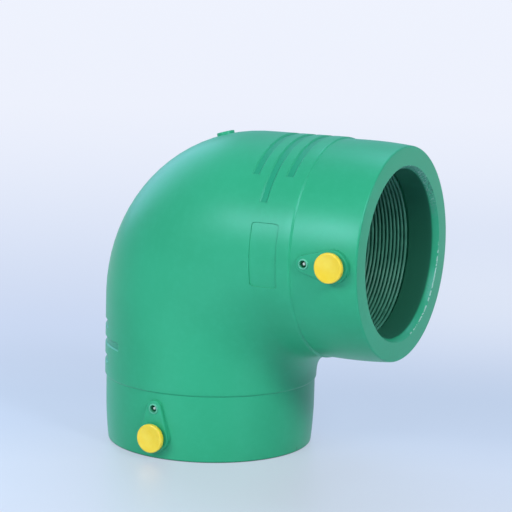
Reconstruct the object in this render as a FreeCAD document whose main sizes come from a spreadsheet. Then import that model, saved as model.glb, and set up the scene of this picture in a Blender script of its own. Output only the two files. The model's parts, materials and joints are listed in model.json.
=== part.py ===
import FreeCAD, Part
import math
import os
import Sketcher
from FreeCAD import Placement, Rotation, Vector

# Electrofusion elbow, 90 degrees, for a 110 mm pipe. Lengths in mm, angles in degrees.
# The elbow stands on its lower mouth: the origin is the centre of that mouth and +Z its axis.
# The upper socket opens along +X. The terminals are on the -Y side of both legs.

doc = FreeCAD.newDocument("electrofusion_elbow")
sheet = doc.addObject("Spreadsheet::Sheet", "Sizes")

driving_sizes = [
    ("leg_length", 142.0, "crossing of the two axes to either mouth"),
    ("pipe_diameter", 110.0, "outside of the pipe that the sockets take"),
    ("pipe_clearance", 0.3, "gap round the pipe"),
    ("socket_depth", 65.0, "mouth to the pipe stop"),
    ("mouth_chamfer_depth", 1.5, "lead-in of the bore, along the axis"),
    ("mouth_chamfer_width", 2.3, "lead-in of the bore, across it"),
    ("socket_wall", 16.7, "wall of a socket"),
    ("draw_in", 1.6, "how much slimmer the outside is at the mouth"),
    ("draw_in_length", 8.0, "length over which it gets slimmer"),
    ("body_step", 1.0, "height of the step where the bend begins"),
    ("crotch_radius", 22.5, "round of the inner corner, seen from the side"),
    ("heel_radius", 111.0, "round of the heel, seen from the side"),
    ("stop_width", 8.8, "shoulder that stops the pipe, from the bore in to the waterway"),
    ("coil_start", 22.5, "mouth to the middle of the first turn"),
    ("coil_turns", 11, "turns of wire in each socket"),
    ("coil_pitch", 2.75, "one turn to the next"),
    ("wire_height", 1.7, "coated wire, across the wall"),
    ("wire_width", 2.3, "coated wire, along the bore"),
    ("wire_below_bore", 0.9, "how far the turns lie behind the bore"),
    ("wire_gap", 0.25, "gap between the wire and its bed"),
    ("groove_width", 5.4, "heel groove"),
    ("groove_depth", 1.1, "heel groove below the surface"),
    ("groove_start", 57.3, "mouth to the middle of the first heel groove"),
    ("groove_pitch", 12.2, "one heel groove to the next"),
    ("groove_span", 92.0, "angle that the outer grooves take"),
    ("long_groove_span", 123.0, "angle that the middle groove takes"),
    ("terminal_place", 15.4, "mouth to the terminal"),
    ("indicator_place", 34.7, "mouth to the fusion indicator"),
    ("pad_height", 2.3, "raised pad above the crown of the socket"),
    ("pad_radius", 10.7, "pad round the terminal"),
    ("pad_tip_radius", 5.5, "pad round the indicator"),
    ("terminal_well_radius", 6.6, "well round the contact pin"),
    ("terminal_well_depth", 11.0, "well round the contact pin, from the pad face"),
    ("pin_radius", 2.0, "contact pin"),
    ("pin_below_face", 1.8, "tip of the contact pin below the pad face"),
    ("pin_gap", 0.05, "gap round the contact pin's root"),
    ("cap_radius", 9.6, "head of the terminal cap"),
    ("cap_head_height", 3.0, "head of the terminal cap"),
    ("cap_edge", 0.9, "broken outer edge of the cap's head"),
    ("cap_stand_off", 2.3, "pad face to the underside of the head"),
    ("cap_fit", 0.2, "gap between the cap's plug and the well"),
    ("cap_seat_gap", 0.3, "gap between the cap's plug and the floor of the well"),
    ("cap_bore_radius", 3.9, "inside of the cap's plug"),
    ("cap_roof", 2.0, "thickness over the cap's inside"),
    ("indicator_well_radius", 2.45, "well round the indicator"),
    ("indicator_well_depth", 9.0, "well round the indicator, from the pad face"),
    ("indicator_radius", 1.0, "indicator pin"),
    ("indicator_below_face", 1.0, "tip of the indicator below the pad face"),
    ("indicator_root", 5.0, "length of the indicator in its guide"),
    ("indicator_gap", 0.1, "gap round the indicator in its guide"),
    ("plate_start", 54.9, "mouth of the upper socket to the marking plate"),
    ("plate_width", 19.2, "marking plate along the leg"),
    ("plate_height", 41.0, "marking plate round the leg"),
    ("plate_rise", 2.2, "middle of the plate above the axis of the leg"),
    ("plate_depth", 0.35, "marking plate below the surface"),
    ("plate_corner", 3.2, "corners of the marking plate"),
    ("gate_radius", 6.0, "gate mark on the heel"),
    ("gate_height", 1.8, "gate mark on the heel"),
    ("gate_angle", 15.7, "gate mark from the top of the heel round"),
    ("overlap", 4.0, "how far two fused shapes reach into each other"),
    ("past", 1.0, "how far a cutter reaches past the surface that it opens"),
]

for row, (alias, size, note) in enumerate(driving_sizes, start=1):
    sheet.set("A%d" % row, alias)
    sheet.set("B%d" % row, str(size))
    sheet.set("C%d" % row, note)
    sheet.setAlias("B%d" % row, alias)

derived_sizes = [
    ("bore_radius", "=pipe_diameter / 2 + pipe_clearance"),
    ("socket_radius", "=bore_radius + socket_wall"),
    ("body_radius", "=socket_radius + body_step"),
    ("band_length", "=leg_length - body_radius - crotch_radius"),
    ("waterway_radius", "=bore_radius - stop_width"),
    ("pivot_x", "=body_radius + crotch_radius"),
    ("pivot_z", "=leg_length - body_radius - crotch_radius"),
    ("reach", "=2 * body_radius + crotch_radius"),
    ("heel_offset", "=reach - heel_radius"),
    ("heel_x", "=heel_radius - body_radius"),
    ("heel_z", "=leg_length + body_radius - heel_radius"),
    ("waterway_bend", "=leg_length - socket_depth"),
    ("mouth_radius", "=socket_radius - draw_in"),
    ("wire_crown_radius", "=bore_radius + wire_below_bore"),
    ("wire_foot_radius", "=wire_crown_radius + wire_height"),
    ("bed_radius", "=wire_foot_radius + wire_gap"),
    ("bed_start", "=coil_start - wire_width / 2 - wire_gap"),
    ("coil_end", "=coil_start + coil_turns * coil_pitch"),
    ("bed_end", "=coil_end + wire_width / 2 + wire_gap"),
    ("link_run", "=leg_length - coil_end"),
    ("face", "=socket_radius + pad_height"),
    ("terminal_floor", "=face - terminal_well_depth"),
    ("indicator_floor", "=face - indicator_well_depth"),
    ("plug_radius", "=terminal_well_radius - cap_fit"),
]

for row, (alias, formula) in enumerate(derived_sizes, start=len(driving_sizes) + 2):
    sheet.set("A%d" % row, alias)
    sheet.set("B%d" % row, formula)
    sheet.setAlias("B%d" % row, alias)

doc.recompute()

aliases = [entry[0] for entry in driving_sizes] + [entry[0] for entry in derived_sizes]
size = {alias: float(sheet.get(alias)) for alias in aliases}


def bound(text):
    """The text of an expression with each size taken from the sheet."""
    words = []
    word = ""
    for letter in text + " ":
        if letter.isalnum() or letter == "_":
            word += letter
        else:
            words.append("Sizes." + word if word in size else word)
            words.append(letter)
            word = ""
    return "".join(words).strip()


def bind(item, sizes):
    """Ties properties of an object to expressions on the sheet."""
    for name, text in sizes.items():
        item.setExpression(name, bound(text))
    return item


def add(kind, name, **sizes):
    return bind(doc.addObject(kind, name), sizes)


def joined(kind, name, shapes):
    item = doc.addObject(kind, name)
    item.Shapes = shapes
    return item


def cut(name, base, tool):
    item = doc.addObject("Part::Cut", name)
    item.Base = base
    item.Tool = tool
    return item


# Each leg has its own frame: z runs from the mouth inwards, and the heel is on its -x side.
legs = {
    "lower": {"turn": Rotation(), "crown": Rotation(Vector(1, 0, 0), 90)},
    "upper": {
        "turn": Rotation(Vector(1, 0, -1), 180),
        "crown": Rotation(Vector(0, 1, 0), -90).multiply(Rotation(Vector(1, 0, 0), 90)),
    },
}


def on_leg(item, leg, rotation, inward="0", outward="0"):
    """Sets an object at a distance from the mouth, and from the axis towards -Y."""
    item.Placement = Placement(Vector(), rotation)
    item.setExpression("Placement.Base.y", bound("0 mm - (" + outward + ") * 1 mm"))
    if leg == "lower":
        item.setExpression("Placement.Base.z", bound("(" + inward + ") * 1 mm"))
    else:
        item.setExpression("Placement.Base.x", bound("(leg_length - (" + inward + ")) * 1 mm"))
        item.setExpression("Placement.Base.z", bound("leg_length * 1 mm"))
    return item


def outline(sketch, corners, arcs=None):
    """A closed outline through corners given as expressions, counter clockwise where an arc bulges out of it."""
    arcs = arcs or {}
    points = []
    for across, along in corners:
        points.append(Vector(float(sheet.evalExpression(bound(across))), float(sheet.evalExpression(bound(along))), 0))
    count = len(points)
    for i, start in enumerate(points):
        end = points[(i + 1) % count]
        if i in arcs:
            radius = float(sheet.evalExpression(bound(arcs[i])))
            chord = end.sub(start)
            middle = start.add(chord * 0.5)
            across = Vector(-chord.y, chord.x, 0).normalize()
            centre = middle.add(across * math.sqrt(max(radius ** 2 - (chord.Length / 2) ** 2, 0)))
            first = math.atan2(start.y - centre.y, start.x - centre.x)
            last = math.atan2(end.y - centre.y, end.x - centre.x)
            sketch.addGeometry(Part.ArcOfCircle(Part.Circle(centre, Vector(0, 0, 1), radius), first, last))
        else:
            sketch.addGeometry(Part.LineSegment(start, end))
    for i in range(count):
        sketch.addConstraint(Sketcher.Constraint("Coincident", i, 2, (i + 1) % count, 1))
    for i, (across, along) in enumerate(corners):
        for kind, text, number in (("DistanceX", across, points[i].x), ("DistanceY", along, points[i].y)):
            place = sketch.addConstraint(Sketcher.Constraint(kind, -1, 1, i, 1, number))
            sketch.setExpression("Constraints[%d]" % place, bound("(" + text + ") * 1 mm"))
    for i, text in arcs.items():
        radius = float(sheet.evalExpression(bound(text)))
        place = sketch.addConstraint(Sketcher.Constraint("Radius", i, radius))
        sketch.setExpression("Constraints[%d]" % place, bound("(" + text + ") * 1 mm"))


heel_steps = 8
waterway_steps = 3
sides_per_turn = 18


# Bend: a loft through sections whose planes all pass through the centre of the crotch round. The heel runs
# straight beside each leg and round in an arc between, so the sections stand at equal steps along that arc.
def bend_section(name, across, up):
    """An ellipse from the crotch round to a point of the heel, given from the centre of the crotch round."""
    distance = "sqrt(%s^2 + %s^2)" % (across, up)
    section = doc.addObject("Part::Ellipse", name)
    section.MajorRadius = 10 * size["body_radius"]
    section.Placement = Placement(Vector(), Rotation(Vector(0, 1, 0), 45))
    return bind(section, {
        "MinorRadius": "body_radius",
        "MajorRadius": "(%s - crotch_radius) / 2" % distance,
        "Placement.Rotation.Angle": "atan(%s / %s)" % (up, across),
        "Placement.Base.x": "(pivot_x - (%s + crotch_radius) / 2 * %s / %s) * 1 mm" % (distance, across, distance),
        "Placement.Base.z": "(pivot_z + (%s + crotch_radius) / 2 * %s / %s) * 1 mm" % (distance, up, distance),
    })


bend_start = add("Part::Circle", "bend_start", Radius="body_radius")
on_leg(bend_start, "lower", Rotation(), "band_length")
bend_end = add("Part::Circle", "bend_end", Radius="body_radius")
on_leg(bend_end, "upper", Rotation(Vector(0, 1, 0), 90), "band_length")
bend_sections = [bend_start]
for step in range(heel_steps + 1):
    turned = "(90 deg * %d / %d)" % (step, heel_steps)
    across = "(heel_offset + heel_radius * cos(%s))" % turned
    up = "(heel_offset + heel_radius * sin(%s))" % turned
    bend_sections.append(bend_section("bend_section_%d" % (step + 1), across, up))
bend_sections.append(bend_end)
bend = doc.addObject("Part::Loft", "bend")
bend.Sections = bend_sections
bend.Ruled = True
bend.Solid = True

# Sockets, pads and the gate mark
solids = [bend]
for leg, frame in legs.items():
    rings = []
    for radius, inward in (
        ("mouth_radius", "0"),
        ("socket_radius", "draw_in_length"),
        ("socket_radius", "band_length + overlap"),
    ):
        ring = add("Part::Circle", "%s_ring_%d" % (leg, len(rings) + 1), Radius=radius)
        rings.append(on_leg(ring, leg, frame["turn"], inward))
    socket = doc.addObject("Part::Loft", leg + "_socket_band")
    socket.Sections = rings
    socket.Ruled = True
    socket.Solid = True
    solids.append(socket)

    pad_sketch = doc.addObject("Sketcher::SketchObject", leg + "_pad_outline")
    spread = "(indicator_place - terminal_place)"
    lean = "((pad_radius - pad_tip_radius) / %s)" % spread
    flat = "sqrt(1 - %s^2)" % lean
    outline(pad_sketch, [
        ("pad_radius * " + flat, "terminal_place + pad_radius * " + lean),
        ("pad_tip_radius * " + flat, "indicator_place + pad_tip_radius * " + lean),
        ("0 - pad_tip_radius * " + flat, "indicator_place + pad_tip_radius * " + lean),
        ("0 - pad_radius * " + flat, "terminal_place + pad_radius * " + lean),
    ], {1: "pad_tip_radius", 3: "pad_radius"})
    on_leg(pad_sketch, leg, frame["crown"], "0", "socket_radius - 2 * overlap")
    pad = doc.addObject("Part::Extrusion", leg + "_pad")
    pad.Base = pad_sketch
    pad.DirMode = "Normal"
    pad.Solid = True
    bind(pad, {"LengthFwd": "pad_height + 2 * overlap"})
    solids.append(pad)

gate = add("Part::Cylinder", "gate_mark", Radius="gate_radius", Height="gate_height + overlap")
gate.Placement = Placement(Vector(), Rotation(Vector(0, -1, 0), 10))
bind(gate, {
    "Placement.Rotation.Angle": "gate_angle * 1 deg",
    "Placement.Base.x": "(heel_x - (heel_radius - overlap) * sin(gate_angle * 1 deg)) * 1 mm",
    "Placement.Base.z": "(heel_z + (heel_radius - overlap) * cos(gate_angle * 1 deg)) * 1 mm",
})
solids.append(gate)
elbow_blank = joined("Part::MultiFuse", "elbow_blank", solids)

# Bores, coil beds, grooves and wells, cut from the blank
cutters = []
for leg, frame in legs.items():
    profile = doc.addObject("Sketcher::SketchObject", leg + "_bore_profile")
    profile.Placement = Placement(Vector(), Rotation(Vector(1, 0, 0), 90))
    outline(profile, [
        ("0", "0 - past"),
        ("bore_radius + mouth_chamfer_width * (1 + past / mouth_chamfer_depth)", "0 - past"),
        ("bore_radius", "mouth_chamfer_depth"),
        ("bore_radius", "bed_start"),
        ("bed_radius", "bed_start"),
        ("bed_radius", "bed_end"),
        ("bore_radius", "bed_end"),
        ("bore_radius", "socket_depth"),
        ("0", "socket_depth"),
    ])
    bore = doc.addObject("Part::Revolution", leg + "_bore")
    bore.Source = profile
    bore.Axis = Vector(0, 0, 1)
    bore.Angle = 360
    bore.Solid = True
    on_leg(bore, leg, frame["turn"])
    cutters.append(bore)

    for number in range(3):
        middle = "(groove_start + %d * groove_pitch)" % number
        span = "long_groove_span" if number == 1 else "groove_span"
        section = doc.addObject("Sketcher::SketchObject", "%s_groove_%d_section" % (leg, number + 1))
        section.Placement = Placement(Vector(), Rotation(Vector(1, 0, 0), 90))
        outline(section, [
            ("0 - body_radius + groove_depth", middle + " - groove_width / 2"),
            ("0 - body_radius + groove_depth", middle + " + groove_width / 2"),
            ("0 - body_radius - 2 * past", middle + " + groove_width / 2"),
            ("0 - body_radius - 2 * past", middle + " - groove_width / 2"),
        ])
        groove = doc.addObject("Part::Revolution", "%s_groove_%d" % (leg, number + 1))
        groove.Source = section
        groove.Axis = Vector(0, 0, 1)
        groove.Symmetric = True
        groove.Solid = True
        bind(groove, {"Angle": span + " * 1 deg"})
        on_leg(groove, leg, frame["turn"])
        cutters.append(groove)

    crown = Rotation(Vector(1, 0, 0), 90)
    terminal_well = add("Part::Cylinder", leg + "_terminal_well", Radius="terminal_well_radius",
                        Height="terminal_well_depth + past")
    on_leg(terminal_well, leg, crown, "terminal_place", "terminal_floor")
    pin_hole = add("Part::Cylinder", leg + "_pin_hole", Radius="pin_radius + pin_gap",
                   Height="terminal_floor - wire_foot_radius + past")
    on_leg(pin_hole, leg, crown, "terminal_place", "wire_foot_radius")
    indicator_well = add("Part::Cylinder", leg + "_indicator_well", Radius="indicator_well_radius",
                         Height="indicator_well_depth + past")
    on_leg(indicator_well, leg, crown, "indicator_place", "indicator_floor")
    indicator_guide = add("Part::Cylinder", leg + "_indicator_guide", Radius="indicator_radius + indicator_gap",
                          Height="indicator_root + past")
    on_leg(indicator_guide, leg, crown, "indicator_place", "indicator_floor - indicator_root")
    lead_slot = add("Part::Box", leg + "_lead_slot", Length="wire_width + 2 * wire_gap",
                    Width="bed_start - terminal_place + pin_radius + overlap",
                    Height="bed_radius - bore_radius + 2 * past + wire_gap")
    lead_slot.Placement = Placement(Vector(), frame["crown"])
    bind(lead_slot, {"Placement.Base.y": "(2 * past - bore_radius) * 1 mm"})
    if leg == "lower":
        bind(lead_slot, {
            "Placement.Base.x": "0 mm - (wire_width / 2 + wire_gap) * 1 mm",
            "Placement.Base.z": "(terminal_place - pin_radius) * 1 mm",
        })
    else:
        bind(lead_slot, {
            "Placement.Base.x": "(leg_length - terminal_place + pin_radius) * 1 mm",
            "Placement.Base.z": "(leg_length - wire_width / 2 - wire_gap) * 1 mm",
        })
    cutters += [terminal_well, pin_hole, indicator_well, indicator_guide, lead_slot]

waterway_sections = []
for step in range(waterway_steps + 1):
    angle = "(90 deg * %d / %d)" % (step, waterway_steps)
    ring = add("Part::Circle", "waterway_section_%d" % step, Radius="waterway_radius")
    ring.Placement = Placement(Vector(), Rotation(Vector(0, 1, 0), 90.0 * step / waterway_steps))
    bind(ring, {
        "Placement.Base.x": "(waterway_bend - waterway_bend * cos(%s)) * 1 mm" % angle,
        "Placement.Base.z": "(socket_depth + waterway_bend * sin(%s)) * 1 mm" % angle,
    })
    waterway_sections.append(ring)
waterway = doc.addObject("Part::Loft", "waterway")
waterway.Sections = waterway_sections
waterway.Ruled = True
waterway.Solid = True
cutters.append(waterway)

# The link between the coils runs straight through the wall, on the side of the terminals.
link_tunnel = add("Part::Box", "link_tunnel", Length="link_run * sqrt(2)",
                  Width="bed_radius - wire_crown_radius + 2 * wire_gap", Height="wire_width + 2 * wire_gap")
link_tunnel.Placement = Placement(Vector(), Rotation(Vector(0, 1, 0), -45))
bind(link_tunnel, {
    "Placement.Base.x": "(wire_width + 2 * wire_gap) / (2 * sqrt(2)) * 1 mm",
    "Placement.Base.y": "0 mm - (bed_radius + wire_gap) * 1 mm",
    "Placement.Base.z": "(coil_end - (wire_width + 2 * wire_gap) / (2 * sqrt(2))) * 1 mm",
})
cutters.append(link_tunnel)

plate_block = add("Part::Box", "plate_block", Length="plate_width", Width="body_radius", Height="plate_height")
bind(plate_block, {
    "Placement.Base.x": "(leg_length - plate_start - plate_width) * 1 mm",
    "Placement.Base.y": "0 mm - (body_radius + overlap) * 1 mm",
    "Placement.Base.z": "(leg_length + plate_rise - plate_height / 2) * 1 mm",
})
doc.recompute()
plate_rounded = doc.addObject("Part::Fillet", "plate_rounded")
plate_rounded.Base = plate_block
corner_edges = []
for number, edge in enumerate(plate_block.Shape.Edges, start=1):
    if abs(edge.tangentAt(edge.FirstParameter).y) > 0.9:
        corner_edges.append((number, size["plate_corner"], size["plate_corner"]))
plate_rounded.Edges = corner_edges
plate_core = add("Part::Cylinder", "plate_core", Radius="body_radius - plate_depth", Height="leg_length")
plate_core.Placement = Placement(Vector(), Rotation(Vector(0, 1, 0), 90))
bind(plate_core, {"Placement.Base.z": "leg_length * 1 mm"})
cutters.append(cut("plate_recess", plate_rounded, plate_core))

elbow_cutters = joined("Part::MultiFuse", "elbow_cutters", cutters)
elbow_body = cut("elbow_body", elbow_blank, elbow_cutters)


# Heating wire: one coated wire from terminal to terminal, a coil in each socket and the link between.
def coil_path():
    """Middle of the wire and the direction towards the pipe, from the lower terminal to the last turn."""
    middle = (size["wire_crown_radius"] + size["wire_foot_radius"]) / 2
    path = [(Vector(0, -middle, size["terminal_place"] - size["pin_radius"] + size["wire_gap"]), Vector(0, 1, 0))]
    steps = int(round(size["coil_turns"])) * sides_per_turn
    for step in range(steps + 1):
        angle = math.radians(360.0 * step / sides_per_turn)
        inward = size["coil_start"] + size["coil_pitch"] * step / sides_per_turn
        outward = Vector(math.sin(angle), -math.cos(angle), 0)
        path.append((outward * middle + Vector(0, 0, inward), outward * -1))
    return path


def mirrored(vector, offset):
    return Vector(offset - vector.z, vector.y, offset - vector.x)


def wire_solid(path):
    """A three sided bar along the path, one edge towards the pipe, with a mitre at every point."""
    across = size["wire_width"] / 2
    half = size["wire_height"] / 2
    corners = ((-half, -across), (-half, across), (half, 0))
    wires = []
    for i, (place, inward) in enumerate(path):
        before = path[i][0].sub(path[i - 1][0]) if i else path[1][0].sub(path[0][0])
        after = path[i + 1][0].sub(place) if i + 1 < len(path) else Vector(before)
        before.normalize()
        after.normalize()
        mitre = before.add(after)
        rise = inward.sub(before * inward.dot(before)).normalize()
        side = before.cross(rise)
        points = []
        for up, sideways in corners:
            corner = rise * up + side * sideways
            slide = corner.dot(mitre) / before.dot(mitre)
            points.append(place.add(corner).sub(before * slide))
        wires.append(Part.makePolygon(points + points[:1]))
    return Part.makeLoft(wires, True, True)


lower_coil = coil_path()
leg_length = size["leg_length"]
upper_coil = [(mirrored(place, leg_length), mirrored(inward, 0)) for place, inward in reversed(lower_coil)]
heating_wire = doc.addObject("Part::Feature", "heating_wire")
heating_wire.Shape = wire_solid(lower_coil + upper_coil)


def turned_piece(name, leg, place, corners):
    """A body turned about the line from the leg's axis towards -Y. Corners are radius and distance from the axis."""
    body = doc.addObject("PartDesign::Body", name)
    sketch = body.newObject("Sketcher::SketchObject", name + "_profile")
    plane = [item for item in body.Origin.OriginFeatures if item.Role == "XY_Plane"][0]
    sketch.AttachmentSupport = [(plane, "")]
    sketch.MapMode = "FlatFace"
    outline(sketch, corners)
    turning = body.newObject("PartDesign::Revolution", name + "_turning")
    turning.Profile = sketch
    turning.ReferenceAxis = (sketch, ["V_Axis"])
    turning.Angle = 360
    on_leg(body, leg, Rotation(Vector(0, 0, 1), 180), place)
    return body


pieces = [elbow_body, heating_wire]
for leg in legs:
    tip = "(face - pin_below_face)"
    pieces.append(turned_piece(leg + "_terminal_pin", leg, "terminal_place", [
        ("0", "wire_foot_radius"),
        ("pin_radius", "wire_foot_radius"),
        ("pin_radius", tip),
        ("0", tip),
    ]))
    under_head = "(face + cap_stand_off)"
    top = "(face + cap_stand_off + cap_head_height)"
    plug_end = "(terminal_floor + cap_seat_gap)"
    pieces.append(turned_piece(leg + "_terminal_cap", leg, "terminal_place", [
        ("0", top + " - cap_roof"),
        ("cap_bore_radius", top + " - cap_roof"),
        ("cap_bore_radius", plug_end),
        ("plug_radius", plug_end),
        ("plug_radius", under_head),
        ("cap_radius", under_head),
        ("cap_radius", top + " - cap_edge"),
        ("cap_radius - cap_edge", top),
        ("0", top),
    ]))
    indicator_tip = "(face - indicator_below_face)"
    pieces.append(turned_piece(leg + "_indicator_pin", leg, "indicator_place", [
        ("0", "indicator_floor - indicator_root + indicator_gap"),
        ("indicator_radius", "indicator_floor - indicator_root + indicator_gap"),
        ("indicator_radius", indicator_tip),
        ("0", indicator_tip),
    ]))

doc.recompute()

for item in doc.Objects:
    for state in item.State:
        if "Invalid" in state or "Error" in state:
            raise RuntimeError("%s failed: %s" % (item.Name, state))

os.makedirs("parts", exist_ok=True)
for piece in pieces:
    piece.Label = piece.Name
    shape = piece.Shape
    if shape.isNull() or not shape.isValid():
        raise RuntimeError(piece.Label + " is not a valid solid")
    shape.exportStep("parts/%s.step" % piece.Label)
    print("%-20s %d solid, %.1f cm3" % (piece.Label, len(shape.Solids), shape.Volume / 1000))
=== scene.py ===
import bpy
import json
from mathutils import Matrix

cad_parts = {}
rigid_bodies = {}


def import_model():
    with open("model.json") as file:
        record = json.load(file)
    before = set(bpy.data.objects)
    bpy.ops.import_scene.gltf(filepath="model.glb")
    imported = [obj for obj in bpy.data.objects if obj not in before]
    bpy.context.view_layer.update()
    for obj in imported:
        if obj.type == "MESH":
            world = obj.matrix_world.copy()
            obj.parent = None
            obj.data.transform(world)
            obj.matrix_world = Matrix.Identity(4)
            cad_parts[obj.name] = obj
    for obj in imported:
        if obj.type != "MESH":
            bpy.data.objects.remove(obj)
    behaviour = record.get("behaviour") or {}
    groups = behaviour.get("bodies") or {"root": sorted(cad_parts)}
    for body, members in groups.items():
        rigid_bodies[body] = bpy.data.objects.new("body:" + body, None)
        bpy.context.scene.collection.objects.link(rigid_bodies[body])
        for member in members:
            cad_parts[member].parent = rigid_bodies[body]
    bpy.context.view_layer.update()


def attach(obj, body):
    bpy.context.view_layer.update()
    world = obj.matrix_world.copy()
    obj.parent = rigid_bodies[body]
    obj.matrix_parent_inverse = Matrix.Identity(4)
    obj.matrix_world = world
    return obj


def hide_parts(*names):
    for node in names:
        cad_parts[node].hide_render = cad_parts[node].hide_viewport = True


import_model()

import json
import math

import bmesh
import bpy
from mathutils import Matrix, Vector

# Green electrofusion elbow on its lower mouth, with its coils, terminal caps and fusion indicators.
# Sizes in the dictionaries are in millimetres and degrees, in the frame of the solids.
mm = 0.001
quarter = math.pi / 2
leg = 142 * mm  # crossing of the two axes to either mouth
mergeDistance = 0.001 * mm
squarely = 0.9  # how far a normal points along the axis that its face is looked for on
offPlane = 0.01 * mm  # how far a point may lie off the plane that it is looked for on

# what is modelled on the lower socket goes to the upper one by a turn
toUpper = Matrix.Translation((leg, 0, leg)) @ Matrix.Rotation(-quarter, 4, "Y")  # pads, wells and caps
toUpperHeel = Matrix.Translation((leg, 0, leg)) @ Matrix.Rotation(math.pi, 4, Vector((1, 0, -1)))  # grooves


# small helpers for working in object and edit mode

def deselectAll():
    if bpy.context.mode != "OBJECT":
        bpy.ops.object.mode_set(mode="OBJECT")
    bpy.ops.object.select_all(action="DESELECT")


def pick(piece):
    deselectAll()
    piece.select_set(True)
    bpy.context.view_layer.objects.active = piece
    return piece


def newest(name):
    piece = bpy.context.view_layer.objects.active
    piece.name = name
    piece.data.name = name
    return piece


def settle(piece):  # puts the place of an object into its mesh
    pick(piece)
    bpy.ops.object.transform_apply(location=True, rotation=True, scale=True)
    return piece


def editing(piece, mode="VERT"):
    pick(piece)
    bpy.ops.object.mode_set(mode="EDIT")
    bpy.ops.mesh.select_mode(type=mode)
    bpy.ops.mesh.select_all(action="DESELECT")


def choose(piece, kind, test):  # selects the verts, edges or faces that pass a test
    shape = bmesh.from_edit_mesh(piece.data)
    for part in getattr(shape, kind):
        part.select_set(bool(test(part)))
    shape.select_flush_mode()
    bmesh.update_edit_mesh(piece.data)


def bevelEdges(piece, test, offset, segments):
    bpy.ops.mesh.select_mode(type="EDGE")
    choose(piece, "edges", test)
    bpy.ops.mesh.bevel(offset=offset * mm, segments=segments, affect="EDGES")


def extrude(along):  # pushes the selected faces out along Y
    bpy.ops.mesh.extrude_region_move(TRANSFORM_OT_translate={"value": (0, along * mm, 0)})


def leave():
    bpy.ops.object.mode_set(mode="OBJECT")


def facingOut(piece):
    editing(piece)
    bpy.ops.mesh.select_all(action="SELECT")
    bpy.ops.mesh.normals_make_consistent(inside=False)
    leave()
    return piece


def copyTo(piece, name, turn):  # a copy with its own mesh, moved by a matrix
    twin = piece.copy()
    twin.data = piece.data.copy()
    bpy.context.scene.collection.objects.link(twin)
    twin.name = name
    twin.data.name = name
    twin.data.transform(turn)
    return facingOut(twin)


def joinAll(pieces, name):
    deselectAll()
    for piece in pieces:
        piece.select_set(True)
    bpy.context.view_layer.objects.active = pieces[0]
    bpy.ops.object.join()
    return newest(name)


def applyBoolean(piece, cutter, operation):
    pick(piece)
    modifier = piece.modifiers.new(operation.lower(), "BOOLEAN")
    modifier.operation = operation
    modifier.solver = "EXACT"
    modifier.object = cutter
    bpy.ops.object.modifier_apply(modifier=modifier.name)
    bpy.data.objects.remove(cutter)


def smoothed(piece, degrees):
    pick(piece)
    bpy.ops.object.shade_smooth_by_angle(angle=math.radians(degrees))
    return piece


# body: one skin from mouth to mouth, rings drawn along the outside and back through the passage

elbow = {
    "sides": 256,
    # distance from the mouth and radius, down the outside to the step
    "outside": [(1.2, 70.34), (2.5, 70.5), (4.5, 70.72), (8, 71.03), (13, 71.4), (18, 71.68), (24, 71.9),
                (30, 72), (38, 72), (44.9, 72), (45.1, 72.15), (45.35, 72.5), (45.65, 72.76), (46.05, 72.93)],
    "edgeRound": 1.2,
    "edgeSteps": 8,
    "bodyRadius": 73,
    "crotchRadius": 22.5,
    "heelRadius": 111,
    "bendSteps": 36,
    # distance from the mouth and radius, down the bore to the pipe stop
    "inside": [(0, 57.7), (0.15, 57.5), (3.5, 55.4), (3.9, 55.3), (8, 55.3), (14, 55.3), (21.1, 55.3),
               (21.1, 58.2), (54.2, 58.2), (54.2, 55.3), (64.9, 55.3), (65, 55.2), (65, 46.9), (65.4, 46.5)],
    "waterway": 46.5,
    "socketDepth": 65,
    "waterwaySteps": 24,
    "smoothAngle": 28,
}


def ringAt(x, z, turn, radial, across):
    oval = Matrix.Diagonal((radial, across, 1, 1))
    return Matrix.Translation((x, 0, z)) @ Matrix.Rotation(turn, 4, "Y") @ oval


def legRing(side, inward, radius):
    if side == "lower":
        return ringAt(0, inward * mm, 0, radius * mm, radius * mm)
    return ringAt(leg - inward * mm, leg, quarter, radius * mm, radius * mm)


def heelDistance(angle):  # from the centre of the crotch round to the heel
    reach = 2 * elbow["bodyRadius"] + elbow["crotchRadius"]
    offset = reach - elbow["heelRadius"]
    if math.tan(angle) <= offset / reach:
        return reach / math.cos(angle)
    if math.tan(quarter - angle) <= offset / reach:
        return reach / math.sin(angle)
    turned = math.cos(angle) + math.sin(angle)
    return offset * turned + math.sqrt(offset ** 2 * turned ** 2 - 2 * offset ** 2 + elbow["heelRadius"] ** 2)


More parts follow.
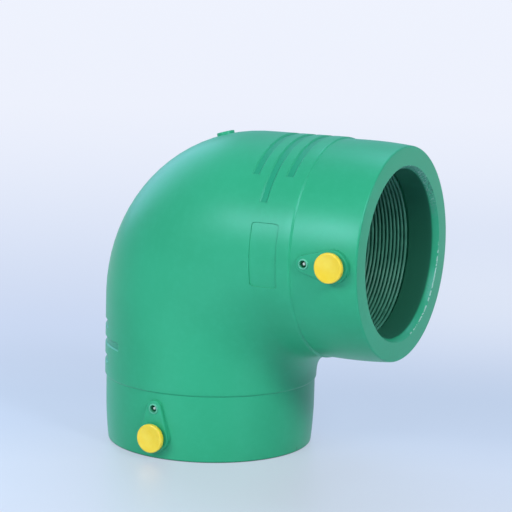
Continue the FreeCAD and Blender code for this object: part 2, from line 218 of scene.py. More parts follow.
def makeSkin():
    crotch = elbow["crotchRadius"]
    pivotX = (elbow["bodyRadius"] + crotch) * mm
    pivotZ = leg - pivotX
    lip = elbow["edgeRound"]
    mouthEdge = elbow["outside"][0][1] - lip
    turns = [quarter * step / elbow["edgeSteps"] for step in range(elbow["edgeSteps"])]
    outside = [(lip - lip * math.cos(turn), mouthEdge + lip * math.sin(turn)) for turn in turns]
    outside += elbow["outside"]
    rings = [legRing("lower", *entry) for entry in outside]
    for step in range(elbow["bendSteps"] + 1):
        angle = quarter * step / elbow["bendSteps"]
        far = heelDistance(angle)
        middle = (far + crotch) / 2 * mm
        rings.append(ringAt(pivotX - middle * math.cos(angle), pivotZ + middle * math.sin(angle), angle,
                            (far - crotch) / 2 * mm, elbow["bodyRadius"] * mm))
    rings += [legRing("upper", *entry) for entry in reversed(outside)]
    rings += [legRing("upper", *entry) for entry in elbow["inside"]]
    bend = leg - elbow["socketDepth"] * mm
    for step in range(elbow["waterwaySteps"] - 1, 0, -1):
        angle = quarter * step / elbow["waterwaySteps"]
        rings.append(ringAt(bend - bend * math.cos(angle), leg - bend + bend * math.sin(angle), angle,
                            elbow["waterway"] * mm, elbow["waterway"] * mm))
    rings += [legRing("lower", *entry) for entry in reversed(elbow["inside"])]
    rings.append(rings[0])

    deselectAll()
    bpy.ops.mesh.primitive_circle_add(vertices=elbow["sides"], radius=1)
    skin = newest("elbow_moulding")
    skin.data.transform(rings[0])
    editing(skin)
    bpy.ops.mesh.select_all(action="SELECT")
    for before, after in zip(rings, rings[1:]):
        bpy.ops.mesh.extrude_region_move()
        shape = bmesh.from_edit_mesh(skin.data)
        move = after @ before.inverted()
        for vert in shape.verts:
            if vert.select:
                vert.co = move @ vert.co
        bmesh.update_edit_mesh(skin.data)
    bpy.ops.mesh.select_all(action="SELECT")
    bpy.ops.mesh.remove_doubles(threshold=mergeDistance)
    leave()
    return facingOut(skin)


# raised pads round the terminals, the lips of the indicator wells and the gate mark

pad = {
    "terminalPlace": 15.4,
    "indicatorPlace": 34.7,
    "radius": 10.7,
    "tipRadius": 5.5,
    "face": 74.3,
    "root": 62,
    "edge": 0.55,
    "edgeSteps": 3,
    "sides": 120,
    "lipRadius": 3.3,
    "lipHeight": 0.7,
    "lipRoot": 2,
    "lipEdge": 0.22,
    "lipSides": 48,
}
gate = {"radius": 6.0, "height": 1.8, "angle": 15.7, "root": 5, "edge": 0.45, "sides": 72}


def edgesAt(height):  # edges that lie at a height towards -Y
    return lambda edge: all(abs(vert.co.y + height * mm) < offPlane for vert in edge.verts)


def makePad():
    spread = (pad["indicatorPlace"] - pad["terminalPlace"]) * mm
    lean = (pad["radius"] - pad["tipRadius"]) * mm / spread
    centre = Vector((0, -pad["face"] * mm, pad["terminalPlace"] * mm))
    deselectAll()
    bpy.ops.mesh.primitive_circle_add(vertices=pad["sides"], radius=pad["radius"] * mm, fill_type="NGON",
                                      location=centre, rotation=(quarter, 0, 0))
    piece = settle(newest("pad"))
    editing(piece)
    # the part of the circle towards the indicator shrinks and moves out to it
    choose(piece, "verts", lambda vert: (vert.co - centre).z > lean * pad["radius"] * mm)
    shrink = pad["tipRadius"] / pad["radius"]
    bpy.ops.transform.resize(value=(shrink, shrink, shrink), center_override=centre)
    bpy.ops.transform.translate(value=(0, 0, spread))
    bpy.ops.mesh.select_all(action="SELECT")
    extrude(pad["face"] - pad["root"])
    bevelEdges(piece, edgesAt(pad["face"]), pad["edge"], pad["edgeSteps"])
    leave()
    return facingOut(piece)


def makeDrum(name, radius, low, high, place, edge, sides):  # a round boss that stands out towards -Y
    middle = (0, -(high + low) / 2 * mm, place * mm)
    deselectAll()
    bpy.ops.mesh.primitive_cylinder_add(vertices=sides, radius=radius * mm, depth=(high - low) * mm,
                                        location=middle, rotation=(quarter, 0, 0))
    piece = settle(newest(name))
    if edge:
        editing(piece)
        bevelEdges(piece, edgesAt(high), edge, pad["edgeSteps"])
        leave()
    return piece


def makeGate():
    heel = elbow["heelRadius"]
    piece = makeDrum("gate", gate["radius"], heel - gate["root"], heel + gate["height"], 0, gate["edge"],
                     gate["sides"])
    heelX = (heel - elbow["bodyRadius"]) * mm
    heelZ = leg + (elbow["bodyRadius"] - heel) * mm
    # stood upright, then leant round the heel
    lean = Matrix.Rotation(math.radians(-gate["angle"]), 4, "Y")
    piece.data.transform(Matrix.Translation((heelX, 0, heelZ)) @ lean @ Matrix.Rotation(-quarter, 4, "X"))
    return piece


# what is cut out of the skin: heel grooves, wells, lead slots and the bare marking plate

groove = {"start": 57.3, "pitch": 12.2, "count": 3, "surface": 5.8, "floor": 3.9, "depth": 1.1, "over": 3,
          "span": 92, "longSpan": 123, "steps": 64}
well = {"terminalRadius": 6.6, "terminalDepth": 11, "terminalSides": 72,
        "indicatorRadius": 2.45, "indicatorDepth": 9, "indicatorSides": 48, "over": 3}
slot = {"width": 2.8, "from": 13.4, "to": 23, "deep": 58.4, "shallow": 53}
plate = {"start": 54.9, "width": 19.2, "low": -14.6, "high": 18.0, "steps": 24, "depth": 0.5, "over": 3,
         "corner": 3.2, "cornerSteps": 8, "closeAngle": 0.1}


def makeFace(name, corners):  # a flat face, its corners in the order that they have round its middle
    deselectAll()
    bpy.ops.mesh.primitive_plane_add(size=1)
    piece = newest(name)
    order = sorted(piece.data.vertices, key=lambda vert: math.atan2(vert.co.y, vert.co.x))
    for vert, corner in zip(order, corners):
        vert.co = [number * mm for number in corner]
    return piece


def spinFace(piece, steps, degrees, axis):
    editing(piece)
    bpy.ops.mesh.select_all(action="SELECT")
    bpy.ops.mesh.spin(steps=steps, angle=math.radians(degrees), center=(0, 0, 0), axis=axis)


def makeGroove(number):  # the middle one of the three is longer
    middle = groove["start"] + number * groove["pitch"]
    span = groove["longSpan"] if number == 1 else groove["span"]
    floor = -(elbow["bodyRadius"] - groove["depth"])
    rim = -(elbow["bodyRadius"] + groove["over"])
    half = groove["floor"] / 2
    slant = (groove["surface"] - groove["floor"]) / 2
    flare = half + slant * (groove["depth"] + groove["over"]) / groove["depth"]
    piece = makeFace("groove", [(rim, 0, middle - flare), (floor, 0, middle - half),
                                (floor, 0, middle + half), (rim, 0, middle + flare)])
    piece.data.transform(Matrix.Rotation(math.radians(-span / 2), 4, "Z"))
    spinFace(piece, groove["steps"], -span, (0, 0, 1))  # without a window the spin turns back
    leave()
    return facingOut(piece)


def makePlate():
    near = leg / mm - plate["start"] - plate["width"]
    far = leg / mm - plate["start"]
    floor = elbow["bodyRadius"] - plate["depth"]
    rim = elbow["bodyRadius"] + plate["over"]
    # spun round the X axis, and lifted to the axis of the upper leg at the end
    piece = makeFace("plate", [(near, -rim, 0), (far, -rim, 0), (far, -floor, 0), (near, -floor, 0)])
    piece.data.transform(Matrix.Rotation(math.radians(-plate["low"]), 4, "X"))
    spinFace(piece, plate["steps"], plate["high"] - plate["low"], (1, 0, 0))

    def isCorner(edge):
        a, b = [vert.co for vert in edge.verts]
        radial = abs(math.hypot(a.y, a.z) - math.hypot(b.y, b.z)) > 1 * mm
        angle = math.degrees(math.atan2(a.z, -a.y))
        return radial and min(abs(angle - plate["low"]), abs(angle - plate["high"])) < plate["closeAngle"]

    bevelEdges(piece, isCorner, plate["corner"], plate["cornerSteps"])
    leave()
    piece.data.transform(Matrix.Translation((0, 0, leg)))
    return facingOut(piece)


def makeCuts():
    cuts = []
    for number in range(groove["count"]):
        cutter = makeGroove(number)
        cuts += [cutter, copyTo(cutter, "groove_upper", toUpperHeel)]
    for kind in ("terminal", "indicator"):
        cutter = makeDrum("well", well[kind + "Radius"], pad["face"] - well[kind + "Depth"],
                          pad["face"] + well["over"], pad[kind + "Place"], 0, well[kind + "Sides"])
        cuts += [cutter, copyTo(cutter, "well_upper", toUpper)]
    deselectAll()
    bpy.ops.mesh.primitive_cube_add(size=1)
    cutter = newest("lead_slot")
    sizes = (slot["width"], slot["deep"] - slot["shallow"], slot["to"] - slot["from"])
    cutter.dimensions = [size * mm for size in sizes]
    cutter.location = (0, -(slot["deep"] + slot["shallow"]) / 2 * mm, (slot["from"] + slot["to"]) / 2 * mm)
    settle(cutter)
    cuts += [cutter, copyTo(cutter, "lead_slot_upper", toUpper)]
    cuts.append(makePlate())
    return joinAll(cuts, "cuts")


def makeBody():
    skin = makeSkin()
    padPiece = makePad()
    lipPiece = makeDrum("lip", pad["lipRadius"], pad["face"] - pad["lipRoot"], pad["face"] + pad["lipHeight"],
                        pad["indicatorPlace"], pad["lipEdge"], pad["lipSides"])
    applyBoolean(padPiece, lipPiece, "UNION")
    for raised in (padPiece, copyTo(padPiece, "pad_upper", toUpper), makeGate()):
        applyBoolean(skin, raised, "UNION")
    applyBoolean(skin, makeCuts(), "DIFFERENCE")
    print("body:", len(skin.data.vertices), "points,", len(skin.data.polygons), "faces")
    return smoothed(skin, elbow["smoothAngle"])


# coils: the coated wire lies in turns in each socket and comes up to the terminals

coil = {"start": 22.5, "turns": 11, "pitch": 2.75, "crown": 55.25, "height": 1.9, "width": 2.15,
        "steps": 120, "round": 14, "leadFrom": 13.6, "leadOver": 0.6, "linkRadius": 0.9, "linkSides": 12,
        "smoothAngle": 50}


def makeTube(name, start, end):
    along = end - start
    deselectAll()
    bpy.ops.mesh.primitive_cylinder_add(vertices=coil["linkSides"], radius=coil["linkRadius"] * mm,
                                        depth=along.length, location=(start + end) / 2,
                                        rotation=along.to_track_quat("Z", "Y").to_euler())
    return settle(newest(name))


def makeCoil():
    middle = coil["crown"] + coil["height"] / 2
    deselectAll()
    bpy.ops.mesh.primitive_circle_add(vertices=coil["round"], radius=0.5, rotation=(0, quarter, 0))
    piece = settle(newest("coil"))
    section = Matrix.Diagonal((1, coil["height"] * mm, coil["width"] * mm, 1))
    piece.data.transform(Matrix.Translation((0, -middle * mm, coil["start"] * mm)) @ section)
    pick(piece)
    screw = piece.modifiers.new("turns", "SCREW")
    screw.axis = "Z"
    screw.angle = 2 * math.pi
    screw.screw_offset = coil["pitch"] * mm
    screw.iterations = coil["turns"]
    screw.steps = coil["steps"]
    screw.render_steps = coil["steps"]
    bpy.ops.object.modifier_apply(modifier=screw.name)
    editing(piece)
    bpy.ops.mesh.select_all(action="SELECT")
    bpy.ops.mesh.remove_doubles(threshold=mergeDistance)
    bpy.ops.mesh.select_all(action="DESELECT")
    bpy.ops.mesh.select_non_manifold()
    bpy.ops.mesh.edge_face_add()
    leave()
    lead = makeTube("lead", Vector((0, -middle, coil["leadFrom"])) * mm,
                    Vector((0, -middle, coil["start"] + coil["leadOver"])) * mm)
    return facingOut(joinAll([piece, lead], "coil"))


def makeWire():
    lower = makeCoil()
    # the upper coil is the lower one mirrored
    flip = Matrix(((0, 0, -1, leg), (0, 1, 0, 0), (-1, 0, 0, leg), (0, 0, 0, 1)))
    upper = copyTo(lower, "coil_upper", flip)
    middle = (coil["crown"] + coil["height"] / 2) * mm
    end = (coil["start"] + coil["turns"] * coil["pitch"]) * mm
    link = makeTube("link", Vector((0, -middle, end)), Vector((leg - end, -middle, leg)))
    return smoothed(joinAll([lower, upper, link], "wire_coils"), coil["smoothAngle"])


# caps, contact pins and indicators

cap = {"radius": 9.6, "under": 76.6, "top": 79.6, "edge": 1.0, "edgeSteps": 6, "underEdge": 0.35,
       "underSteps": 3, "plug": 6.4, "plugEnd": 63.6, "bore": 3.9, "roof": 77.6, "sides": 128,
       "dish": 8.0, "dishStep": 0.4, "dishDepth": 0.12, "smoothAngle": 40}
pin = {"radius": 2.0, "root": 57.9, "tip": 72.5, "edge": 0.5, "sides": 40, "smoothAngle": 40}
indicator = {"radius": 1.0, "root": 60.4, "tip": 73.3, "edge": 0.4, "sides": 32, "smoothAngle": 40}


def makeCap():
    piece = makeDrum("cap", cap["radius"], cap["under"], cap["top"], pad["terminalPlace"], 0, cap["sides"])
    editing(piece, "FACE")
    choose(piece, "faces", lambda face: face.normal.y > squarely)
    bpy.ops.mesh.inset(thickness=(cap["radius"] - cap["plug"]) * mm)
    extrude(cap["under"] - cap["plugEnd"])
    bpy.ops.mesh.inset(thickness=(cap["plug"] - cap["bore"]) * mm)
    extrude(-(cap["roof"] - cap["plugEnd"]))

    def isFront(face):
        return face.normal.y < -squarely and abs(face.calc_center_median().y + cap["top"] * mm) < offPlane

    choose(piece, "faces", isFront)
    bpy.ops.mesh.inset(thickness=(cap["radius"] - cap["dish"]) * mm)
    bpy.ops.mesh.inset(thickness=cap["dishStep"] * mm)
    bpy.ops.transform.translate(value=(0, cap["dishDepth"] * mm, 0))

    def isWide(vert):
        return math.hypot(vert.co.x, vert.co.z - pad["terminalPlace"] * mm) > cap["radius"] * mm - offPlane

    for height, rounding, steps in (("top", "edge", "edgeSteps"), ("under", "underEdge", "underSteps")):
        level = edgesAt(cap[height])
        bevelEdges(piece, lambda edge: all(map(isWide, edge.verts)) and level(edge), cap[rounding], cap[steps])
    leave()
    return smoothed(facingOut(piece), cap["smoothAngle"])


def makePin(name, sizes, kind):
    piece = makeDrum(name, sizes["radius"], sizes["root"], sizes["tip"], pad[kind + "Place"], sizes["edge"],
                     sizes["sides"])
    return smoothed(piece, sizes["smoothAngle"])


# shader maths: a socket that takes part in sums, and one method that makes any node

class Value:
    def __init__(self, finish, socket):
        self.finish = finish
        self.socket = socket

    def sum(self, operation, *others):
        inputs = {0: self}
        for place, other in enumerate(others, start=1):
            inputs[place] = other
        return self.finish.result("ShaderNodeMath", {"operation": operation}, inputs)

    def __add__(self, other):
        return self.sum("ADD", other)

    def __radd__(self, other):
        return self.sum("ADD", other)

    def __sub__(self, other):
        return self.sum("SUBTRACT", other)

    def __rsub__(self, other):
        return (self * -1) + other

    def __mul__(self, other):
        return self.sum("MULTIPLY", other)

    def __rmul__(self, other):
        return self.sum("MULTIPLY", other)

    def __truediv__(self, other):
        return self.sum("DIVIDE", other)

    def __rtruediv__(self, other):
        return self.sum("POWER", -1.0) * other

    def root(self):
        return self.sum("SQRT")

    def size(self):
        return self.sum("ABSOLUTE")

    def least(self, other):
        return self.sum("MINIMUM", other)

    def most(self, other):
        return self.sum("MAXIMUM", other)

    def above(self, other):
        return self.sum("GREATER_THAN", other)

    def ramp(self, low, high):  # 0 at low, 1 at high, with soft ends
        return self.finish.result("ShaderNodeMapRange", {"interpolation_type": "SMOOTHSTEP"},
                                  {"Value": self, "From Min": low, "From Max": high})


class Finish:
    def __init__(self, name, kind="materials"):
        self.material = getattr(bpy.data, kind).new(name)
        self.material.use_nodes = True
        self.tree = self.material.node_tree
        self.shader = self.tree.nodes["Principled BSDF" if kind == "materials" else "Background"]
        self.out = [node for node in self.tree.nodes if node.type.startswith("OUTPUT")][0]

    def node(self, kind, settings, inputs):  # the outputs of a new node, by name
        made = self.tree.nodes.new(kind)
        for name, setting in settings.items():
            if name == "stops":
                while len(made.color_ramp.elements) < len(setting):
                    made.color_ramp.elements.new(0.5)
                for element, (place, colour) in zip(made.color_ramp.elements, setting):
                    element.position = place
                    element.color = (*colour, 1)
            else:
                setattr(made, name, setting)
        for name, given in inputs.items():
            if isinstance(given, Value):
                self.tree.links.new(given.socket, made.inputs[name])
            else:
                made.inputs[name].default_value = given
        return {socket.name: Value(self, socket) for socket in made.outputs if socket.enabled}

    def result(self, kind, settings, inputs):  # the first output alone
        return list(self.node(kind, settings, inputs).values())[0]

    def place(self):  # place on the object, in metres
        return self.node("ShaderNodeTexCoord", {}, {})["Object"]

    def axes(self, vector):
        return self.node("ShaderNodeSeparateXYZ", {}, {0: vector}).values()

    def stretched(self, vector, factors):
        return self.result("ShaderNodeVectorMath", {"operation": "MULTIPLY"}, {0: vector, 1: factors})

    def distance(self, vector, point):
        return self.result("ShaderNodeVectorMath", {"operation": "DISTANCE"}, {0: vector, 1: point})

    def noise(self, place, size, detail, roughness=0.55):  # size of its blotches in millimetres
        inputs = {"Vector": place, "Scale": 1 / (size * mm), "Detail": detail, "Roughness": roughness}
        return self.result("ShaderNodeTexNoise", {}, inputs)

    def blend(self, factor, first, second):  # inputs 6 and 7 are the node's colours
        return self.result("ShaderNodeMix", {"data_type": "RGBA"}, {0: factor, 6: first, 7: second})

    def bump(self, height, distance, strength, normal=None):
        inputs = {"Height": height, "Distance": distance * mm, "Strength": strength}
        if normal:
            inputs["Normal"] = normal
        return self.result("ShaderNodeBump", {}, inputs)

    def edgeNormal(self, radius):  # rounds hard edges in the light
        return self.result("ShaderNodeBevel", {"samples": 4}, {"Radius": radius * mm})

    def feed(self, name, given):
        if isinstance(given, Value):
            self.tree.links.new(given.socket, self.shader.inputs[name])
        else:
            self.shader.inputs[name].default_value = given


def tint(red, green, blue):  # a colour as an eight bit picture writes it
    def linear(level):
        level = level / 255
        return level / 12.92 if level <= 0.04045 else ((level + 0.055) / 1.055) ** 2.4

    return (linear(red), linear(green), linear(blue), 1)


greenPlastic = {
    "base": tint(49, 171, 122),
    "pale": tint(56, 178, 130),
    "deep": tint(45, 165, 116),
    # painted shade inside the sockets, also the dark flecks of the scraped lead-in
    "bore": tint(42, 108, 82),
    "scraped": tint(104, 158, 138),
    "flash": tint(196, 226, 214),
    # painted shade on the floors of the heel grooves
    "grooveShade": tint(34, 152, 112),
    # painted shade along the foot where it stands, also the colour of the nick and the heel mark
    "foot": tint(24, 92, 70),
    # painted highlight on the lips of the indicator wells
    "lipHighlight": tint(112, 204, 168),
    "shine": tint(186, 236, 255),
    "roughness": 0.37,
    "specular": 0.5,
    "edgeNormal": 0.5,
    # noises: size in millimetres, detail and roughness
    "broad": (60, 2),
    "fine": (5, 4),
    "grain": (1.2, 3),
    "streaks": (3.2, 5, 0.72),
    "stretch": (1, 2.6, 2.6),
    "flecks": (1.5, 4, 0.7),
    "patches": (18, 2),
    "breaks": (3.5, 4),
    "broadBump": (1.2, 0.08),
    "grainBump": (0.05, 0.5),
}

# where the green is marked or scraped or carries painted shade and a painted highlight: a pair is the two ends
# of a soft edge, and mark is a place
zones = {
    "boreRadius": (57, 59),
    "boreStart": (3.4, 5),
    "boreEnd": 95,
    "grooveRadius": (72, 72.3),
    "grooveStart": 52,
    "grooveEnd": 87,
    "grooveFloor": 70,
    "foot": (0.3, 1.4),
    "lip": 2.95,
    "lipEdge": (0.3, 0.7),
    "lipSide": 70,
    "leadInRadius": 56.5,
    "leadInEdge": (0.9, 1.5),
    "leadInEnd": (3.6, 4.4),
    "mouthBand": 5,
    "top": (20, 42),
    "low": (-3, 4),
    "farSide": (10, 20),
    "tornRadius": 57.45,
    "tornWander": 1.2,
    "tornEdge": (0.1, 0.4),
    "tornEnd": (0.3, 0.8),
    "nickSide": 60,
    "nick": -3.7,
    "nickEdge": (0.15, 0.45),
    "nickFoot": (0.8, 1.6),
    "nickTop": (3.4, 4.4),
    "mark": (-37.1, -30, 176.3),
    "markEdge": (0.5, 1.3),
}
for name, size in zones.items():
    zones[name] = [number * mm for number in size] if isinstance(size, tuple) else size * mm


def legCoordinates(finish, place):  # distance from the nearer mouth and from that leg's axis
    x, y, z = finish.axes(place)
    upperInward = leg - x
    isUpper = z.above(upperInward)
    lowerRadius = (x * x + y * y).root()
    upperRadius = (y * y + (z - leg) * (z - leg)).root()
    inward = z.least(upperInward)
    radius = lowerRadius + (upperRadius - lowerRadius) * isUpper
    return inward, radius


def makeGreen():
    finish = Finish("green_polypropylene")
    place = finish.place()
    x, y, z = finish.axes(place)
    inward, radius = legCoordinates(finish, place)
    broad = finish.noise(place, *greenPlastic["broad"])
    fine = finish.noise(place, *greenPlastic["fine"])
    grain = finish.noise(place, *greenPlastic["grain"])
    colour = finish.blend(broad.ramp(0.25, 0.75), greenPlastic["deep"], greenPlastic["base"])

    def paint(factor, name):
        return finish.blend(factor, colour, greenPlastic[name])

    colour = paint(fine.ramp(0.4, 0.8) * 0.3, "pale")
    # painted shade inside the sockets and the passage beyond them, from just past the lead-in
    boreShade = (1 - radius.ramp(*zones["boreRadius"])) * inward.ramp(*zones["boreStart"])
    colour = paint(boreShade * (1 - inward.above(zones["boreEnd"])), "bore")
    # painted shade on the floors of the heel grooves
    grooves = (1 - radius.ramp(*zones["grooveRadius"])) * radius.above(zones["grooveFloor"])
    grooves = grooves * inward.above(zones["grooveStart"]) * (1 - inward.above(zones["grooveEnd"]))
    colour = paint(grooves * 0.8, "grooveShade")
    colour = paint((1 - z.ramp(*zones["foot"])) * 0.8, "foot")  # shade where it stands
    # a painted highlight makes the lips of the indicator wells pale
    aside = x + (z - leg - x) * z.above(leg - x)
    past = inward - pad["indicatorPlace"] * mm
    lipHighlight = 1 - ((past * past + aside * aside).root() - zones["lip"]).size().ramp(*zones["lipEdge"])
    colour = paint(lipHighlight * (0 - y).above(zones["lipSide"]) * 0.75, "lipHighlight")
    # the lead-in of the upper mouth is scraped and flecked towards its top
    leadIn = 1 - (radius - zones["leadInRadius"]).size().ramp(*zones["leadInEdge"])
    leadIn = leadIn * (1 - inward.ramp(*zones["leadInEnd"]))
    isUpper = x.above(leg - zones["mouthBand"])
    top = isUpper * (z - leg).ramp(*zones["top"])
    streaks = finish.noise(finish.stretched(place, greenPlastic["stretch"]), *greenPlastic["streaks"])
    flecks = finish.noise(place, *greenPlastic["flecks"])
    patches = finish.noise(place, *greenPlastic["patches"]).ramp(0.52, 0.66) * 0.35
    scraped = leadIn * (top + patches).least(1) * streaks.ramp(0.40, 0.56)
    colour = paint(scraped * 0.8, "scraped")
    colour = paint(leadIn * top * flecks.ramp(0.56, 0.62) * 0.4, "flash")
    colour = paint(leadIn * top * (1 - flecks.ramp(0.38, 0.46)) * 0.8, "bore")
    # low on its far side a torn whitish edge is left where the lead-in meets the face of the mouth
    low = isUpper * (leg - z).ramp(*zones["low"]) * y.ramp(*zones["farSide"])
    tornLine = radius - zones["tornRadius"] - (streaks - 0.5) * zones["tornWander"]
    torn = (1 - tornLine.size().ramp(*zones["tornEdge"])) * (1 - inward.ramp(*zones["tornEnd"]))
    flash = torn * low * finish.noise(place, *greenPlastic["breaks"]).ramp(0.46, 0.53) * 0.9
    colour = paint(flash, "flash")
    # a nick above the foot and a small mark on the heel
    nick = (1 - (y - zones["nick"]).size().ramp(*zones["nickEdge"])) * x.above(zones["nickSide"])
    nick = nick * z.ramp(*zones["nickFoot"]) * (1 - z.ramp(*zones["nickTop"]))
    mark = 1 - finish.distance(place, zones["mark"]).ramp(*zones["markEdge"])
    colour = paint(nick.most(mark) * 0.7, "foot")
    finish.feed("Base Color", colour)
    rougher = (scraped + flash).least(1) * 0.28
    finish.feed("Roughness", fine * 0.08 + (greenPlastic["roughness"] - 0.04) + rougher)
    finish.feed("Specular IOR Level", greenPlastic["specular"])
    finish.feed("Specular Tint", greenPlastic["shine"])
    normal = finish.edgeNormal(greenPlastic["edgeNormal"])
    normal = finish.bump(broad, *greenPlastic["broadBump"], normal)
    normal = finish.bump(grain + (streaks + flecks) * scraped * 4, *greenPlastic["grainBump"], normal)
    finish.feed("Normal", normal)
    return finish.material


# the other finishes: blotches of two tints, smudged roughness and a fine grain,
# each noise given by its size in millimetres and its detail

# the coat is tinted darker than the body's green: painted shade of the bores on the coils
shadedCoatPlastic = {
    "name": "wire_coat", "tints": (tint(58, 128, 102), tint(72, 144, 116)), "blotches": (9, 3),
    "spread": (0.35, 0.7), "smudges": (3, 2), "roughness": 0.38, "rougher": 0.15, "grain": (1.2, 2),
    "bump": (0.05, 0.3),
}
yellowPlastic = {
    "name": "yellow_cap_plastic", "tints": (tint(247, 210, 42), tint(250, 219, 62)), "blotches": (7, 3),
    "spread": (0.3, 0.75), "smudges": (2.5, 3), "roughness": 0.14, "rougher": 0.1, "grain": (1.6, 2),
    "bump": (0.04, 0.2), "edgeNormal": 0.2,
}
palePlastic = {
    "name": "indicator_plastic", "tints": (tint(196, 205, 198), tint(222, 228, 222)), "blotches": (1.5, 3),
    "spread": (0.3, 0.7), "smudges": (0.8, 2), "roughness": 0.35, "rougher": 0.2, "grain": (0.5, 2),
    "bump": (0.02, 0.2),
}
brassMetal = {
    "name": "contact_brass", "tints": (tint(196, 160, 88), tint(224, 190, 118)), "blotches": (2, 3),
    "spread": (0.3, 0.7), "smudges": (1, 2), "roughness": 0.22, "rougher": 0.2, "grain": (0.4, 2),
    "bump": (0.02, 0.3), "metallic": 1.0,
}


def makeFinish(looks):
    finish = Finish(looks["name"])
    place = finish.place()
    blotches = finish.noise(place, *looks["blotches"]).ramp(*looks["spread"])
    finish.feed("Base Color", finish.blend(blotches, *looks["tints"]))
    finish.feed("Metallic", looks.get("metallic", 0.0))
    finish.feed("Roughness", finish.noise(place, *looks["smudges"]) * looks["rougher"] + looks["roughness"])
    normal = finish.edgeNormal(looks["edgeNormal"]) if "edgeNormal" in looks else None
    finish.feed("Normal", finish.bump(finish.noise(place, *looks["grain"]), *looks["bump"], normal))
    return finish.material


def wear(piece, material):
    piece.data.materials.clear()
    piece.data.materials.append(material)
    return piece


# the object put together

body = wear(makeBody(), makeGreen())
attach(body, "elbow")
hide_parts("elbow_body")

wire = wear(makeWire(), makeFinish(shadedCoatPlastic))
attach(wire, "elbow")
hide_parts("heating_wire")
print("coils:", len(wire.data.polygons), "faces")

yellow = makeFinish(yellowPlastic)
pale = makeFinish(palePlastic)
brass = makeFinish(brassMetal)
capPiece = makeCap()
contact = makePin("pin", pin, "terminal")
marker = makePin("marker", indicator, "indicator")
# piece, material, name, body that it rides on, node that it replaces and slot
lowerPieces = [
    (capPiece, yellow, "cap_face", "{}_cap", "{}_terminal_cap", "yellow_cap"),
    (contact, brass, "contact", "elbow", "{}_terminal_pin", "contact_brass"),
    (marker, pale, "indicator", "{}_indicator", "{}_indicator_pin", "pale_indicator"),
]
for piece, material, name, bodyName, node, slotName in lowerPieces:
    wear(piece, material)
    twin = copyTo(piece, "upper_" + name, toUpper)
    piece.name = "lower_" + name
    for side, shown in (("lower", piece), ("upper", twin)):
        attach(shown, bodyName.format(side))
        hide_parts(node.format(side))
print("caps, pins and indicators in place")


# floor, light and camera

# place in millimetres, focal length in pixels of a picture this many pixels wide
camera = {"azimuth": 28.653, "elevation": 9.254, "roll": 1.41, "place": (602.86, -1042.28, 323.58),
          "focal": 1779.9, "pixels": 512, "sensor": 36, "clip": (0.01, 100)}
backdrop = {
    "radius": 40.0,
    "sides": 64,
    "brighter": tint(230, 237, 252),
    "bounce": (0, 0, 0, 1),
    "darker": 0.25,
    "nearSlope": 0.32,
    # painted shade and light on the paper: far off even, darkest behind the object, brighter in front of it
    "stops": [(0.0, (239, 243, 254)), (0.25, (237, 241, 253)), (0.634, (214, 225, 247)),
              (0.76, (209, 222, 243)), (0.82, (211, 223, 243)), (0.89, (222, 231, 247)), (1.0, (225, 232, 245))],
    "brighterAside": (0, 0.13),
    "brighterFrom": (0.42, 0.56),
    "brighterTo": (0.58, 0.76),
    "roughness": 0.6,
    "specular": 0.15,
    "lit": 0.3,
    "litFrom": (0.3, 0.8),
    "shine": 0.18,
    "shineFrom": (0.55, 0.9),
    "shineRoughness": 0.42,
}
lamps = {
    "key": {"place": (-0.6, -1.9, 1.05), "size": (1.1, 0.75), "power": 25, "tint": tint(243, 248, 255)},
    "front": {"place": (0.6, -1.7, 1.75), "size": (1.5, 1.1), "power": 8, "tint": tint(243, 248, 255)},
    "top": {"place": (0.1, 0.9, 2.0), "size": (1.8, 1.2), "power": 14, "tint": tint(190, 220, 255)},
    "side": {"place": (1.6, -0.75, 1.25), "size": (0.4, 0.5), "power": 21, "tint": tint(240, 247, 255)},
    "edge": {"place": (-1.6, 0.7, 1.0), "size": (1.6, 1.4), "power": 12, "tint": tint(178, 220, 255)},
}
lampAim = (0.04, 0, 0.1)
world = {"tint": tint(192, 219, 255), "diffuse": 0.1, "reflected": 0.8, "seen": 0.95}


def seenDirectly(finish, reflected=1.0):  # 1 where the camera looks at it, less in a shiny surface
    rays = finish.node("ShaderNodeLightPath", {}, {})
    return (rays["Is Camera Ray"] + rays["Is Glossy Ray"] * reflected + rays["Is Transmission Ray"]).least(1)


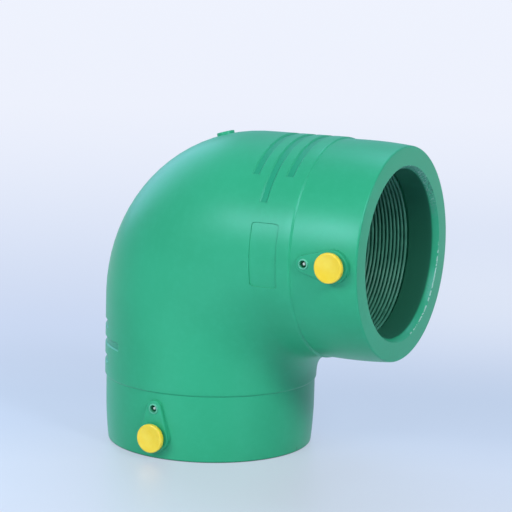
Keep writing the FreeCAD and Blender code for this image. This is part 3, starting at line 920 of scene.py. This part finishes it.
def makeFloor():
    deselectAll()
    bpy.ops.mesh.primitive_circle_add(vertices=backdrop["sides"], radius=backdrop["radius"], fill_type="NGON")
    floor = newest("floor")
    finish = Finish("pale_floor")
    x, y = list(finish.axes(finish.place()))[:2]
    footX, footY, height = [number * mm for number in camera["place"]]
    away = ((x - footX) * (x - footX) + (y - footY) * (y - footY)).root()
    slope = height / away / backdrop["nearSlope"]  # 0 far off, 1 right in front
    turn = math.radians(camera["azimuth"])
    aside = ((x - footX) * math.cos(turn) + (y - footY) * math.sin(turn)) / away  # to the camera's right
    stops = [(place, tint(*shade)[:3]) for place, shade in backdrop["stops"]]
    colour = finish.result("ShaderNodeValToRGB", {"stops": stops}, {0: slope})
    # a painted pool of light on the paper in front of the object, to the camera's right
    brighter = aside.ramp(*backdrop["brighterAside"]) * slope.ramp(*backdrop["brighterFrom"])
    brighter = brighter * (1 - slope.ramp(*backdrop["brighterTo"]))
    colour = finish.blend(brighter, colour, backdrop["brighter"])
    # the paper is lit a little darker than it looks, so that less light bounces up
    finish.feed("Base Color", finish.blend(backdrop["darker"], colour, backdrop["bounce"]))
    finish.feed("Roughness", backdrop["roughness"])
    finish.feed("Specular IOR Level", backdrop["specular"])
    # the camera sees the paper's colour, partly lit, so that the shadow stays, and under a soft shine
    paper = Value(finish, finish.shader.outputs[0])
    glow = finish.result("ShaderNodeEmission", {}, {"Color": colour, "Strength": 1.0})
    direct = seenDirectly(finish) * (1 - slope.ramp(*backdrop["litFrom"]) * backdrop["lit"])
    mixed = finish.result("ShaderNodeMixShader", {}, {0: direct, 1: paper, 2: glow})
    glossy = {"Color": (1, 1, 1, 1), "Roughness": backdrop["shineRoughness"]}
    shine = finish.result("ShaderNodeBsdfGlossy", {}, glossy)
    shining = slope.ramp(*backdrop["shineFrom"]) * backdrop["shine"]
    mixed = finish.result("ShaderNodeMixShader", {}, {0: shining, 1: mixed, 2: shine})
    finish.tree.links.new(mixed.socket, finish.out.inputs["Surface"])
    floor.data.materials.append(finish.material)


def makeLight():
    studio = Finish("studio", "worlds")
    studio.feed("Color", world["tint"])
    direct = seenDirectly(studio, world["reflected"])
    studio.feed("Strength", direct * (world["seen"] - world["diffuse"]) + world["diffuse"])
    bpy.context.scene.world = studio.material
    for name, sizes in lamps.items():
        data = bpy.data.lights.new(name, "AREA")
        data.shape = "ELLIPSE"
        data.size, data.size_y = sizes["size"]
        data.energy = sizes["power"]
        data.color = sizes["tint"][:3]
        lamp = bpy.data.objects.new(name, data)
        bpy.context.scene.collection.objects.link(lamp)
        lamp.location = sizes["place"]
        towards = Vector(lampAim) - lamp.location
        lamp.rotation_euler = towards.to_track_quat("-Z", "Y").to_euler()


def makeCamera():
    data = bpy.data.cameras.new("camera")
    data.sensor_width = camera["sensor"]
    data.lens = camera["focal"] / camera["pixels"] * camera["sensor"]
    data.clip_start, data.clip_end = camera["clip"]
    view = bpy.data.objects.new("camera", data)
    bpy.context.scene.collection.objects.link(view)
    turn = (Matrix.Rotation(math.radians(camera["azimuth"]), 4, "Z")
            @ Matrix.Rotation(math.radians(90 - camera["elevation"]), 4, "X")
            @ Matrix.Rotation(math.radians(camera["roll"]), 4, "Z"))
    view.matrix_world = Matrix.Translation(Vector(camera["place"]) * mm) @ turn
    bpy.context.scene.camera = view


makeFloor()
makeLight()
makeCamera()
bpy.context.scene.view_settings.view_transform = "Standard"
print("floor, light and camera set")

deselectAll()
